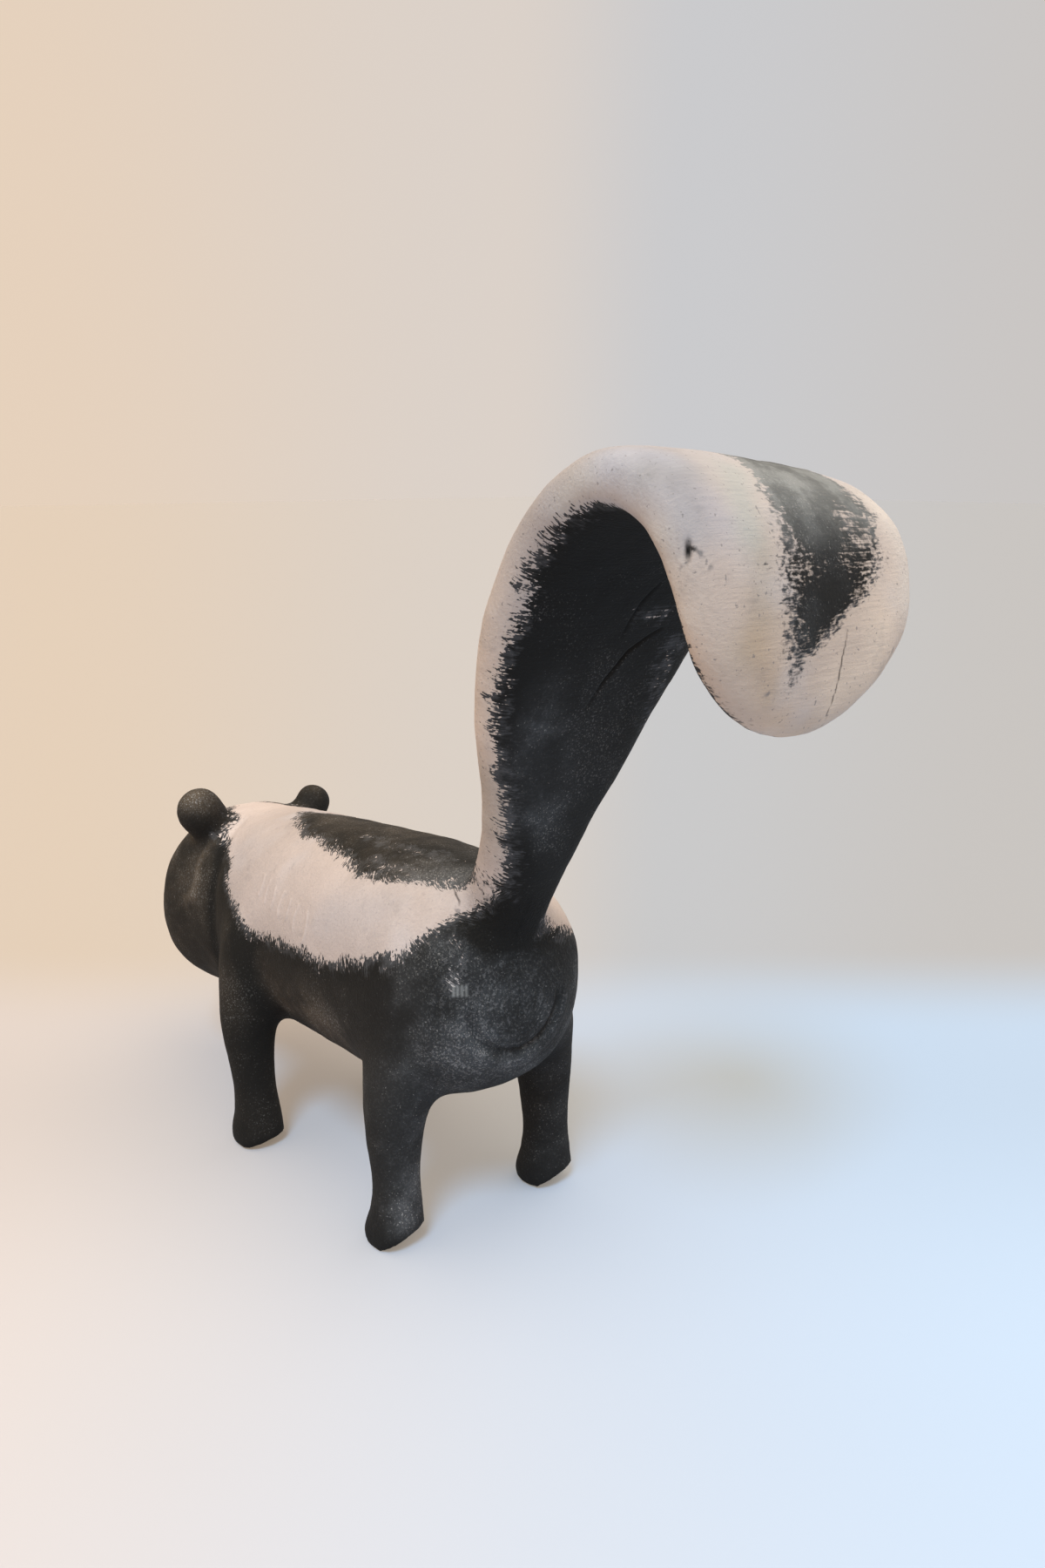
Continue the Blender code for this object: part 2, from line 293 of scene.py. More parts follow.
EYE_RING_CUT = (1.2 * MM, 1.3 * MM)
NOSE_RING_CUT = (1.3 * MM, 0.8 * MM)
MOUTH_CUT = (1.1 * MM, 1.0 * MM)
eye_distance = np.linalg.norm(folded - np.array(EYE_PLACE), axis=1)
cut += groove(eye_distance - EYE_RADIUS, *EYE_RING_CUT)
nose_distance = np.linalg.norm(points - np.array(NOSE_PLACE), axis=1)
cut += groove(nose_distance - NOSE_RADIUS, *NOSE_RING_CUT)
cut += groove(distance_to_path(folded, MOUTH)[0], *MOUTH_CUT)

FLANK_BEGINS = (0.025, 0.035)
FLANK_TOP_BEGINS = (0.14, 0.15)
on_left_flank = smooth_step(*FLANK_BEGINS, points[:, 0]) * smooth_step(*FLANK_TOP_BEGINS, points[:, 2])
stroke_ridge = np.zeros(len(points))
for stroke in STROKE_ROW:
    away = distance_to_path(points[:, 1:], stroke_path(*stroke))[0]
    stroke_ridge = np.maximum(stroke_ridge, groove(away, STROKE_WIDTH, 1.0) * on_left_flank)
cut -= stroke_ridge * STROKE_HEIGHT

# The soles are cut flat, and the whole stays inside the box of the frame's solid.
points -= normals * cut[:, None]
on_sole = (points[:, 2] < 1.0 * MM) & (normals[:, 2] < -0.6)
points[on_sole, 2] = low.z
points = np.clip(points, np.array(low), np.array(high))
skunk.data.vertices.foreach_set("co", points.astype(np.float32).ravel())
skunk.data.update()
bpy.ops.object.shade_smooth()

# Where the two paints lie. The body's white is outlined by places along the figure, as a
# share of its length from the nose, and degrees round the back from the middle line.
CROWN_EDGE = [(0.045, 3), (0.085, 8), (0.125, 8), (0.158, 8), (0.167, 13)]
LEFT_EDGE = CROWN_EDGE + [
    (0.208, 26), (0.218, 34), (0.237, 36), (0.272, 49), (0.285, 63), (0.324, 74), (0.357, 82), (0.418, 82),
    (0.474, 79), (0.504, 82), (0.544, 76), (0.586, 69), (0.610, 64), (0.632, 59), (0.646, 46), (0.654, 34),
    (0.664, 22)]
RIGHT_EDGE = CROWN_EDGE + [
    (0.208, 25), (0.218, 32), (0.240, 38), (0.268, 52), (0.290, 64), (0.330, 75), (0.380, 83), (0.440, 80),
    (0.510, 84), (0.565, 77), (0.620, 72), (0.665, 60), (0.673, 52), (0.676, 39), (0.674, 31), (0.690, 24)]
BACK_STRIPE_EDGE = [(0.653, 17), (0.602, 24), (0.560, 34), (0.515, 36), (0.473, 30), (0.406, 24),
                    (0.366, 22), (0.312, 10), (0.280, 0)]
BACK_CENTRE_HEIGHTS = [(-0.3117, 0.1122), (-0.2248, 0.1332), (-0.1900, 0.1395), (-0.1335, 0.1450),
                       (-0.0561, 0.1505), (0.0166, 0.1555), (0.0715, 0.1564), (0.3100, 0.1564)]
BACK_RADIUS = 0.066
TAIL_BASE_END = (0.690, 22)
TAIL_BASE_INNER_END = (0.690, 17)
ACROSS_CENTRE = [(0.278, -25), (0.030, -25)]

x, y, z = points.T
centre_height = np.interp(y, *np.array(BACK_CENTRE_HEIGHTS).T)
round_the_back = np.degrees(np.arctan2(np.abs(x), z - centre_height))
unrolled = np.stack([y - low.y, np.radians(round_the_back) * BACK_RADIUS], axis=1)


def inside_outline(places, outline):
    found = np.zeros(len(places), bool)
    for start, end in zip(outline, np.roll(outline, -1, axis=0)):
        crosses = (start[1] > places[:, 1]) != (end[1] > places[:, 1])
        rise = np.where(crosses, end[1] - start[1], 1.0)
        meets = start[0] + (places[:, 1] - start[1]) / rise * (end[0] - start[0])
        found ^= crosses & (places[:, 0] < meets)
    return found


def flank_paint(edge):
    """Distance from the edge of a flank's white, above 0 inside it, and the place along the edge."""
    outline = edge + [TAIL_BASE_END, TAIL_BASE_INNER_END] + BACK_STRIPE_EDGE + ACROSS_CENTRE
    outline = np.array([(share * LENGTH, math.radians(degrees) * BACK_RADIUS)
                        for share, degrees in outline])
    distance, along = distance_to_path(unrolled, np.concatenate([outline, outline[:1]]))
    return np.where(inside_outline(unrolled, outline), distance, -distance), along


left_distance, left_along = flank_paint(LEFT_EDGE)
right_distance, right_along = flank_paint(RIGHT_EDGE)
left_side = x >= 0
body_distance = np.where(left_side, left_distance, right_distance)
body_along = np.where(left_side, left_along, right_along)

# The white stops short of the rump: slanting lines behind each flank cut it off. Each line
# passes through a place, y and z, and leans back by a share of the height above it.
LEFT_REAR_CUTS = [(0.1013, 0.2155, 1.23), (0.0925, 0.2120, 0.70)]
RIGHT_REAR_CUTS = [(0.1083, 0.1959, 0.60)]
for side, cuts in ((left_side, LEFT_REAR_CUTS), (~left_side, RIGHT_REAR_CUTS)):
    before_cut = np.max([(cut_y + (z - cut_z) * lean - y) / math.hypot(1, lean)
                         for cut_y, cut_z, lean in cuts], axis=0)
    body_distance = np.where(side, np.minimum(body_distance, before_cut), body_distance)

# Ears are charcoal down to their roots.
EAR_ROOTS = [Vector((0.0470, -0.1950, 0.2125)), Vector((-0.0455, -0.1910, 0.2060))]
EAR_ROOT_RADIUS = 0.0270
for root in EAR_ROOTS:
    from_root = np.linalg.norm(points - np.array(root), axis=1) - EAR_ROOT_RADIUS
    body_distance = np.minimum(body_distance, from_root)

# The tail's strap: its middle line from the root over the arch to the tip, as shares of
# the figure's height, with the strap's half width.
STRAP_LINE = [(0.147, 0.370, 0.050), (0.219, 0.470, 0.048), (0.267, 0.560, 0.067), (0.302, 0.650, 0.102),
              (0.339, 0.740, 0.137), (0.390, 0.840, 0.163), (0.460, 0.925, 0.172), (0.549, 0.967, 0.177),
              (0.619, 0.930, 0.174), (0.647, 0.855, 0.159), (0.649, 0.795, 0.119), (0.643, 0.757, 0.060),
              (0.641, 0.742, 0.012)]
STRAP_STEPS = 12
FULL_HEIGHT = 0.456


def eased_line(stations, steps):
    """More places along a line, on a curve that passes through all its stations."""
    stations = np.array(stations)
    last = len(stations) - 1
    found = []
    for place in range(last):
        before, start, end, after = stations[[max(place - 1, 0), place, place + 1, min(place + 2, last)]]
        for step in range(steps):
            share = step / steps
            found.append(0.5 * (2 * start + (end - before) * share
                                + (2 * before - 5 * start + 4 * end - after) * share ** 2
                                + (3 * start - before - 3 * end + after) * share ** 3))
    return np.array(found + [stations[-1]])


strap = eased_line(STRAP_LINE, STRAP_STEPS) * FULL_HEIGHT
strap_steps = np.diff(strap[:, :2], axis=0)
strap_run = np.concatenate([[0], np.cumsum(np.linalg.norm(strap_steps, axis=1))])
strap_length = strap_run[-1]
strap_heading = np.gradient(strap[:, :2], axis=0)
strap_heading /= np.linalg.norm(strap_heading, axis=1)[:, None]
nearest_place = np.zeros(len(points), int)
nearest_distance = np.full(len(points), 1e9)
for place, (line_y, line_z) in enumerate(strap[:, :2]):
    distance = np.hypot(y - line_y, z - line_z)
    closer = distance < nearest_distance
    nearest_place[closer] = place
    nearest_distance[closer] = distance[closer]
heading = strap_heading[nearest_place]
from_line = points[:, 1:] - strap[nearest_place, :2]
outward = from_line[:, 1] * heading[:, 0] - from_line[:, 0] * heading[:, 1]
run = strap_run[nearest_place] + from_line[:, 0] * heading[:, 0] + from_line[:, 1] * heading[:, 1]
run_share = run / strap_length
strap_half = np.interp(run, strap_run, strap[:, 2])

# The strap's hollow side is charcoal but for a white margin. Its outer side has a charcoal
# stripe that runs on from the back, over the arch, and ends in a point on the hanging end.
# Both are given at shares of the strap's length: the charcoal's half width inside the hollow
# as a share of the strap's, and the stripe's two edges in metres from the middle.
HOLLOW_MARGIN = [(0.0, 1.05), (0.15, 0.93), (0.19, 0.91), (0.29, 0.91), (0.38, 0.94), (0.44, 0.93),
                 (0.47, 0.93), (0.50, 0.905), (0.525, 0.870), (0.550, 0.865), (0.575, 0.900),
                 (0.60, 0.915), (0.67, 0.91), (0.72, 0.88), (0.80, 0.86), (0.88, 0.93),
                 (0.94, 0.985), (1.0, 0.99)]
STRIPE_LEFT = [(0.0, 0.0210), (0.30, 0.0230), (0.50, 0.0240), (0.65, 0.0190), (0.76, 0.0170),
               (0.81, 0.0215), (0.835, 0.0235), (0.875, 0.0275), (0.91, 0.0255), (0.930, 0.0225),
               (0.96, 0.0165)]
STRIPE_RIGHT = [(0.0, -0.0210), (0.30, -0.0230), (0.50, -0.0260), (0.65, -0.0380), (0.76, -0.0450),
                (0.81, -0.0530), (0.835, -0.0450), (0.875, -0.0280), (0.90, -0.0040), (0.920, 0.0165),
                (0.96, 0.0320)]
TAIL_BEGINS = (0.222, 0.240)
TAIL_IS_BEHIND = 0.05
margin = np.interp(run_share, *np.array(HOLLOW_MARGIN).T) * strap_half
stripe_left = np.interp(run_share, *np.array(STRIPE_LEFT).T)
stripe_right = np.interp(run_share, *np.array(STRIPE_RIGHT).T)
sideways = np.abs(x)
hollow_distance = np.where(outward < 0, sideways - margin, strap_half - margin + outward)
stripe_distance = np.maximum(x - stripe_left, stripe_right - x)
stripe_distance = np.where(outward > 0, stripe_distance, strap_half - stripe_left - outward)
tail_distance = np.minimum(hollow_distance, stripe_distance)
on_tail = smooth_step(*TAIL_BEGINS, z) * (y > TAIL_IS_BEHIND)
white_distance = body_distance + (tail_distance - body_distance) * on_tail
along_edge = np.where(on_tail < 0.5, body_along, run_share * strap_length)

# Marks that stand alone: the paint's level in millimetres along a chain of places, and how
# steeply it falls beside them. A little under 0 leaves scattered strokes of white.
WHITE_MARKS = [
    (-0.2, 1.2, [(0.0452, 0.1046, 0.1792), (0.0440, 0.1066, 0.1757)]),
    (-4.0, 0.7, [(0.0366, 0.0985, 0.2000), (0.0364, 0.1060, 0.1896)]),
    (-3.2, 0.7, [(0.0333, 0.1391, 0.2705), (0.0296, 0.1211, 0.2491), (0.0261, 0.1277, 0.2428)]),
    (-4.9, 0.7, [(-0.0061, 0.1950, 0.3815), (-0.0199, 0.1942, 0.3801)]),
    (-3.7, 0.5, [(-0.0400, 0.1842, 0.3649), (-0.0400, 0.1763, 0.3492), (-0.0455, 0.1580, 0.3176)]),
    (-3.1, 0.7, [(0.0310, 0.0096, 0.2223), (0.0336, 0.0258, 0.2214), (0.0271, 0.0522, 0.2224),
                 (0.0175, 0.0730, 0.2221)]),
    (-3.5, 0.7, [(0.0132, -0.0250, 0.2247), (0.0162, 0.0110, 0.2269), (0.0017, 0.0516, 0.2267)]),
    (-1.5, 0.7, [(-0.0280, 0.2935, 0.4295), (-0.0330, 0.2971, 0.4225)]),
]
for level, steepness, path in WHITE_MARKS:
    away = distance_to_path(points, path)[0]
    white_distance = np.maximum(white_distance, level * MM - steepness * away)


def nearness(path, reach):
    """1 on a chain of places, falling smoothly to 0 away from it."""
    return np.exp(-(distance_to_path(points, path)[0] / reach) ** 2)


# The charcoal is brushed thin over the arch's top, so white greys it there, and the finger
# marks are as thin. On the hanging end its edges are dabbed and half transparent, with
# streaks dragged out half way down. Places are shares of the strap's length.
THIN_BEGINS = (0.70, 0.77)
THIN_ENDS = (0.848, 0.785)
WEDGE_BEGINS = (0.76, 0.82)
STREAK_PLACE = 0.850
STREAK_REACH = 0.012
on_outside = (outward > 0) * on_tail
thin_paint = smooth_step(*THIN_BEGINS, run_share) * smooth_step(*THIN_ENDS, run_share) * on_outside
for path in FINGER_MARKS:
    thin_paint = np.maximum(thin_paint, nearness(path, FINGER_MARK_WIDTH))
on_wedge = smooth_step(*WEDGE_BEGINS, run_share) * on_outside
streak_band = np.exp(-((run_share - STREAK_PLACE) / STREAK_REACH) ** 2) * on_outside
HOLLOW_RAGGEDNESS = [(0.0, 1.0), (0.15, 0.65), (0.35, 0.65), (0.46, 1.0), (0.53, 1.2), (0.60, 1.5),
                     (0.65, 1.4), (0.72, 0.9), (0.82, 0.4)]
WEDGE_RAGGEDNESS = 0.6
RIGHT_HALF_BEGINS = (0.008, -0.004)
RIGHT_HALF_RAGGEDNESS = 0.1
STREAK_RAGGEDNESS = 1.5
WEDGE_SOFTNESS = 1.2
raggedness = 1 + (np.interp(run_share, *np.array(HOLLOW_RAGGEDNESS).T) - 1) * on_tail * (outward < 0)
right_half = smooth_step(*RIGHT_HALF_BEGINS, x - (stripe_left + stripe_right) / 2)
raggedness += (WEDGE_RAGGEDNESS + RIGHT_HALF_RAGGEDNESS * right_half) * on_wedge
raggedness += STREAK_RAGGEDNESS * streak_band
softness = WEDGE_SOFTNESS * on_wedge

# Strokes cross most edges squarely, but along the back they lie slantwise.
BACK_SLANT = 1.6
SLANT_BEGINS = (45, 30)
slant = BACK_SLANT * smooth_step(*SLANT_BEGINS, round_the_back) * (1 - on_tail)

# The white's own colour changes from pinkish on the body to grey over the arch and warm on
# the hanging end. Tints change it in given places: other paints show faintly through it in some,
# and some are painted light and shade: painted shade on the tail's left margin next to the back,
# painted highlights on the hanging end's right rim and on the white of the right flank by the
# rump, and a bluish painted light on the arch's top. The rise begins at a height, the crown at a
# place along the figure, the arch and the end at shares of the strap's length. Each tint has its
# share, its colour, how far it reaches and its path.
WHITE_ON_BODY = np.array([0.440, 0.366, 0.345])
WHITE_ON_CROWN = np.array([0.572, 0.476, 0.448])
WHITE_ON_RISE = np.array([0.520, 0.425, 0.375])
WHITE_ON_ARCH = np.array([0.410, 0.364, 0.360])
WHITE_ON_END = np.array([0.455, 0.365, 0.312])
RISE_BEGINS = (0.230, 0.330)
CROWN_BEGINS = (-0.130, -0.185)
ARCH_BEGINS = (0.45, 0.68)
END_BEGINS = (0.74, 0.90)
WHITE_TINTS_AND_PAINTED_LIGHT = [
    (0.50, (0.300, 0.300, 0.370), 13 * MM,
     [(0.0667, 0.2740, 0.4516), (0.0625, 0.2885, 0.4420), (0.0546, 0.2995, 0.4293)]),
    (0.60, (0.265, 0.250, 0.275), 8 * MM,
     [(0.0745, 0.2560, 0.4533), (0.0737, 0.2620, 0.4529), (0.0705, 0.2683, 0.4529)]),
    (0.75, (0.500, 0.470, 0.460), 7 * MM,
     [(0.0758, 0.2280, 0.4340), (0.0765, 0.2400, 0.4440), (0.0768, 0.2480, 0.4460)]),
    (0.60, (0.560, 0.500, 0.460), 8 * MM,
     [(0.0752, 0.2860, 0.4250), (0.0739, 0.2916, 0.4136), (0.0720, 0.2950, 0.3950)]),
    (0.60, (0.320, 0.260, 0.200), 10 * MM,
     [(0.0400, 0.3060, 0.4150), (0.0430, 0.3090, 0.3980), (0.0480, 0.3095, 0.3840)]),
    (0.70, (0.550, 0.390, 0.260), 10 * MM, [(0.0230, 0.3040, 0.3480), (0.0100, 0.3000, 0.3400)]),
    (0.75, (0.265, 0.255, 0.262), 10 * MM, [(0.0724, 0.2750, 0.4484), (0.0560, 0.2790, 0.4484)]),
    (0.80, (0.255, 0.250, 0.275), 12 * MM, [(0.0667, 0.2860, 0.4440), (0.0687, 0.2970, 0.4270)]),
    (0.62, (0.330, 0.345, 0.335), 10 * MM,
     [(0.0287, 0.2799, 0.4483), (0.0363, 0.2892, 0.4418), (0.0418, 0.3015, 0.4258)]),
    (0.60, (0.390, 0.390, 0.400), 8 * MM, [(0.0460, 0.1040, 0.1800), (0.0382, 0.1103, 0.1722)]),
    # Painted cool light on the arch's top.
    (0.45, (0.410, 0.430, 0.520), 12 * MM, [(0.0721, 0.2554, 0.4549), (0.0575, 0.2694, 0.4549)]),
    (0.60, (0.400, 0.330, 0.300), 12 * MM, [(0.0650, 0.3010, 0.4100), (0.0600, 0.3060, 0.3980)]),
    (0.50, (0.380, 0.275, 0.190), 9 * MM,
     [(0.0453, 0.3103, 0.3836), (0.0400, 0.3100, 0.3750), (0.0346, 0.3095, 0.3640)]),
    # Painted highlight on the hanging end's right rim.
    (0.80, (0.520, 0.465, 0.430), 14 * MM,
     [(-0.0641, 0.2800, 0.4350), (-0.0720, 0.2950, 0.4100), (-0.0628, 0.3025, 0.3926)]),
    (0.85, (0.590, 0.480, 0.400), 15 * MM,
     [(-0.0400, 0.3080, 0.3800), (-0.0363, 0.3058, 0.3610), (-0.0109, 0.3072, 0.3565)]),
    (0.45, (0.340, 0.315, 0.335), 18 * MM, [(0.0525, 0.0448, 0.2065), (0.0609, 0.0101, 0.1934)]),
    # Painted shade on the tail's left margin next to the back.
    (0.90, (0.365, 0.308, 0.275), 24 * MM, [(0.0433, 0.1280, 0.2700), (0.0433, 0.1336, 0.2940)]),
    # Painted highlight on the white of the right flank by the rump.
    (0.80, (0.640, 0.570, 0.550), 20 * MM, [(-0.0400, 0.0950, 0.2080), (-0.0450, 0.0700, 0.2100)]),
]
up_the_rise = smooth_step(*RISE_BEGINS, z)[:, None]
to_the_crown = smooth_step(*CROWN_BEGINS, y)[:, None]
to_the_arch = smooth_step(*ARCH_BEGINS, run_share)[:, None] * on_tail[:, None]
to_the_end = smooth_step(*END_BEGINS, run_share)[:, None] * on_tail[:, None]
white_colour = WHITE_ON_BODY + (WHITE_ON_RISE - WHITE_ON_BODY) * up_the_rise
for share, aim in ((to_the_crown, WHITE_ON_CROWN), (to_the_arch, WHITE_ON_ARCH),
                   (to_the_end, WHITE_ON_END)):
    white_colour = white_colour + (aim - white_colour) * share
for share, aim, reach, path in WHITE_TINTS_AND_PAINTED_LIGHT:
    tint = share * nearness(path, reach)
    white_colour = white_colour + (np.array(aim) - white_colour) * tint[:, None]
# Painted highlight: the white is a little lighter along the low ridges under it.
PAINTED_RIDGE_HIGHLIGHT = 0.07
white_colour = white_colour * (1 + PAINTED_RIDGE_HIGHLIGHT * stroke_ridge[:, None])

# Dust, rubbing and painted light on the charcoal, in one sum. The charcoal is paler on what
# faces up and darker on the legs, dust lies on the rump, and handling has rubbed some places pale.
# Painted highlights lie on the cheek's ridge, by the jaw and on the lip outside the rump's ring, a
# painted sheen lies with dust along the lower flank, and painted shade darkens the ring's groove,
# the cheek's valley and the top of the arch's hollow. Each place has its share, how far it reaches
# and its path. A share below 0 is a place kept dark.
RUBBED_AND_LIT_PLACES = [
    # Painted highlights along the cheek's ridge and by the jaw.
    (0.90, 4.5 * MM, CHEEK_RIDGE),
    (0.60, 4 * MM, [(0.0557, -0.1692, 0.1103), (0.0478, -0.1835, 0.0930)]),
    (-0.40, 13 * MM, [(0.0702, -0.0980, 0.1500), (0.0692, -0.0868, 0.1289), (0.0664, -0.0827, 0.1172)]),
    # Dust with a painted sheen along the lower flank and belly.
    (0.85, 20 * MM, [(0.0690, -0.0600, 0.1250), (0.0660, 0.0500, 0.1050)]),
    (0.85, 18 * MM, [(0.0360, 0.1628, 0.3150), (0.0240, 0.1500, 0.2800)]),
    (0.45, 12 * MM, [(0.0380, 0.1735, 0.3436), (0.0370, 0.1700, 0.3360)]),
    # Painted shade at the top of the arch's hollow.
    (-0.45, 30 * MM, [(0.0400, 0.2050, 0.4000), (0.0000, 0.2150, 0.4100)]),
    (0.85, 13 * MM, [(0.0310, 0.0096, 0.2223), (0.0336, 0.0258, 0.2214), (0.0175, 0.0730, 0.2221)]),
    (0.60, 3 * MM, [(0.0450, 0.1669, 0.3316), (0.0337, 0.1665, 0.3271), (0.0204, 0.1660, 0.3240)]),
    (0.50, 10 * MM, [(0.0124, 0.3099, 0.3877), (0.0150, 0.3103, 0.3793)]),
    (0.86, 20 * MM, [(0.0664, 0.0793, 0.1105), (0.0634, 0.0779, 0.0818), (0.0601, 0.0754, 0.0346)]),
    (0.34, 25 * MM, [(0.0590, -0.2005, 0.1605), (0.0626, -0.2127, 0.1245)]),
    (0.40, 14 * MM, [(0.0511, -0.1809, 0.2153), (0.0561, -0.1901, 0.2238)]),
    (0.10, 13 * MM, [(0.0510, 0.1030, 0.1590), (0.0447, 0.1084, 0.1517), (0.0336, 0.1134, 0.1424)]),
    (-0.60, 22 * MM, [(0.0200, 0.1120, 0.1960), (-0.0278, 0.1117, 0.1857)]),
    (-0.40, 10 * MM, [(0.0520, 0.0950, 0.1850), (0.0550, 0.0940, 0.1770)]),
    (0.80, 8 * MM, [(0.0410, 0.0976, 0.1975), (0.0358, 0.1052, 0.1917)]),
    (0.45, 12 * MM, [(0.0380, 0.1090, 0.1400), (0.0290, 0.1130, 0.1280)]),
    (0.80, 5 * MM, [(-0.0013, 0.1186, 0.1756), (0.0010, 0.1190, 0.1720)]),
    (0.70, 3 * MM, [(-0.0446, 0.1082, 0.1680), (-0.0446, 0.1082, 0.1600)]),
    (0.60, 9 * MM, [(0.0598, 0.0758, 0.0517), (0.0626, 0.0745, 0.0295), (0.0581, 0.0763, 0.0199)]),
    (0.50, 6 * MM, [(0.0572, -0.1856, 0.2186), (0.0517, -0.1894, 0.2251)]),
]
DUST_EVERYWHERE = 0.20
PALER_FACING_UP = 0.30
DARKER_ON_LEGS = 0.14
LEGS_BEGIN = (0.120, 0.080)
DUST_ON_RUMP = 0.64
DUSTY_RUMP_BEGINS = (0.060, 0.110)
DUSTY_RUMP_ENDS = (0.205, 0.180)
DUST_ON_DISC = 0.42
DUST_IN_RINGS = 0.35
PAINTED_HIGHLIGHT_ON_LIP = 0.55
LIT_LIP_AWAY = 7.0 * MM
LIT_LIP_REACH = 5.0 * MM
PAINTED_SHADE_IN_RING = 0.60
SHADED_RING_REACH = 3.0 * MM
PAINTED_SHADE_IN_VALLEY = 0.50
SHADED_VALLEY_REACH = 6.0 * MM
DARK_BY_WHITE = 0.20
DARK_RIM = 7 * MM
MOST_DUST_AND_LIGHT = 1.4
dust_and_painted_light = DUST_EVERYWHERE + PALER_FACING_UP * np.clip(normals[:, 2], -1, 1)
dust_and_painted_light -= DARKER_ON_LEGS * smooth_step(*LEGS_BEGIN, z)
dusty_rump = smooth_step(*DUSTY_RUMP_BEGINS, y) * smooth_step(*DUSTY_RUMP_ENDS, z)
dust_and_painted_light += DUST_ON_RUMP * dusty_rump
from_ring = around_rump - RUMP_RING
# Painted highlight on the lip outside the rump's ring, and painted shade in the ring's groove.
dust_and_painted_light += PAINTED_HIGHLIGHT_ON_LIP * groove(from_ring - LIT_LIP_AWAY, LIT_LIP_REACH, 1.0) * on_rump * low_half
dust_and_painted_light -= PAINTED_SHADE_IN_RING * groove(from_ring, SHADED_RING_REACH, 1.0) * on_rump * low_half
dust_and_painted_light += (DUST_ON_DISC + DUST_IN_RINGS * (brush_rings - 0.5)) * on_disc
# Painted shade in the cheek's valley.
dust_and_painted_light -= PAINTED_SHADE_IN_VALLEY * groove(distance_to_path(folded, CHEEK_VALLEY)[0], SHADED_VALLEY_REACH, 1.0)
for share, reach, path in RUBBED_AND_LIT_PLACES:
    dust_and_painted_light += share * nearness(path, reach)
dust_and_painted_light -= DARK_BY_WHITE * np.exp(-((white_distance + DARK_RIM) / DARK_RIM) ** 2)
dust_and_painted_light = np.clip(dust_and_painted_light, 0, MOST_DUST_AND_LIGHT)

# Grey smudges and dark specks on the white, each with its share, its reach and its path.
SMUDGES = [
    (0.70, 1.2 * MM, [(0.0626, 0.2640, 0.4539), (0.0630, 0.2645, 0.4535)]),
    (0.40, 2.2 * MM, [(0.0720, 0.2760, 0.4470), (0.0655, 0.2800, 0.4440)]),
    (0.50, 2.2 * MM, [(0.0410, 0.2763, 0.4493), (0.0400, 0.2790, 0.4480)]),
    (0.65, 1.5 * MM, [(0.0700, 0.2996, 0.4206), (0.0687, 0.3011, 0.4187)]),
    (0.50, 1.4 * MM, [(0.0665, 0.3032, 0.4152), (0.0652, 0.3040, 0.4135)]),
    (0.32, 1.8 * MM, [(0.0687, 0.3011, 0.4187), (0.0630, 0.3054, 0.4100)]),
    (0.40, 1.8 * MM, [(0.0725, 0.2981, 0.4160), (0.0735, 0.2957, 0.4132)]),
    (0.90, 1.5 * MM, [(-0.0510, 0.3050, 0.3724), (-0.0470, 0.3064, 0.3663)]),
    (0.80, 1.3 * MM, [(0.0359, 0.3075, 0.3622), (0.0350, 0.3078, 0.3640)]),
    (0.45, 1.8 * MM, [(0.0421, 0.3084, 0.3696), (0.0415, 0.3084, 0.3660)]),
    (0.60, 1.2 * MM, [(0.0232, 0.3066, 0.3557), (0.0225, 0.3068, 0.3565)]),
    (0.60, 2.5 * MM, [(0.0290, 0.0915, 0.2110), (0.0308, 0.0964, 0.2067)]),
    (0.40, 1.5 * MM, [(0.0346, 0.0672, 0.2170), (0.0356, 0.0719, 0.2153)]),
    (0.50, 2.5 * MM, [(0.0225, -0.1900, 0.2068), (0.0225, -0.1827, 0.2068)]),
]
smudged = np.zeros(len(points))
for share, reach, path in SMUDGES:
    smudged = np.maximum(smudged, share * nearness(path, reach))


def write_attribute(name, kind, values):
    attribute = skunk.data.attributes.new(name, kind, "POINT")
    key = "vector" if kind == "FLOAT_VECTOR" else "value"
    attribute.data.foreach_set(key, np.asarray(values, np.float32).ravel())


write_attribute("paint_edge", "FLOAT_VECTOR",
                np.stack([white_distance / MM, along_edge / MM, raggedness], axis=1))
write_attribute("brush_way", "FLOAT_VECTOR", np.stack([slant, softness, thin_paint], axis=1))
write_attribute("white_colour", "FLOAT_VECTOR", white_colour)
turn = np.arctan2(x - RUMP_CENTRE[0], RUMP_CENTRE[1] - z)
write_attribute("rump_brush", "FLOAT_VECTOR", np.stack([turn * RUMP_RING, around_rump, on_rump], axis=1))
# Dust with painted highlights and shade, smudges, and the cracks' shade go to the paint together.
write_attribute("wear_and_painted_light", "FLOAT_VECTOR", np.stack([dust_and_painted_light, smudged, crack_shade], axis=1))
eye_mask = smooth_step(EYE_RADIUS, EYE_RADIUS - 1.0 * MM, eye_distance)
nose_mask = smooth_step(NOSE_RADIUS, NOSE_RADIUS - 1.2 * MM, nose_distance)
write_attribute("face_gloss", "FLOAT", np.maximum(eye_mask, nose_mask))


def shader_node(tree, kind, inputs=None, **settings):
    """A shader node with its settings, its inputs either linked or given a value."""
    made = tree.nodes.new(kind)
    for key, value in settings.items():
        setattr(made, key, value)
    for key, value in (inputs or {}).items():
        if isinstance(value, bpy.types.NodeSocket):
            tree.links.new(value, made.inputs[key])
        else:
            made.inputs[key].default_value = value
    return made


def math_node(tree, operation, first, second):
    return shader_node(tree, "ShaderNodeMath", {0: first, 1: second}, operation=operation).outputs[0]


def times(tree, first, second):
    return math_node(tree, "MULTIPLY", first, second)


def plus(tree, first, second):
    return math_node(tree, "ADD", first, second)


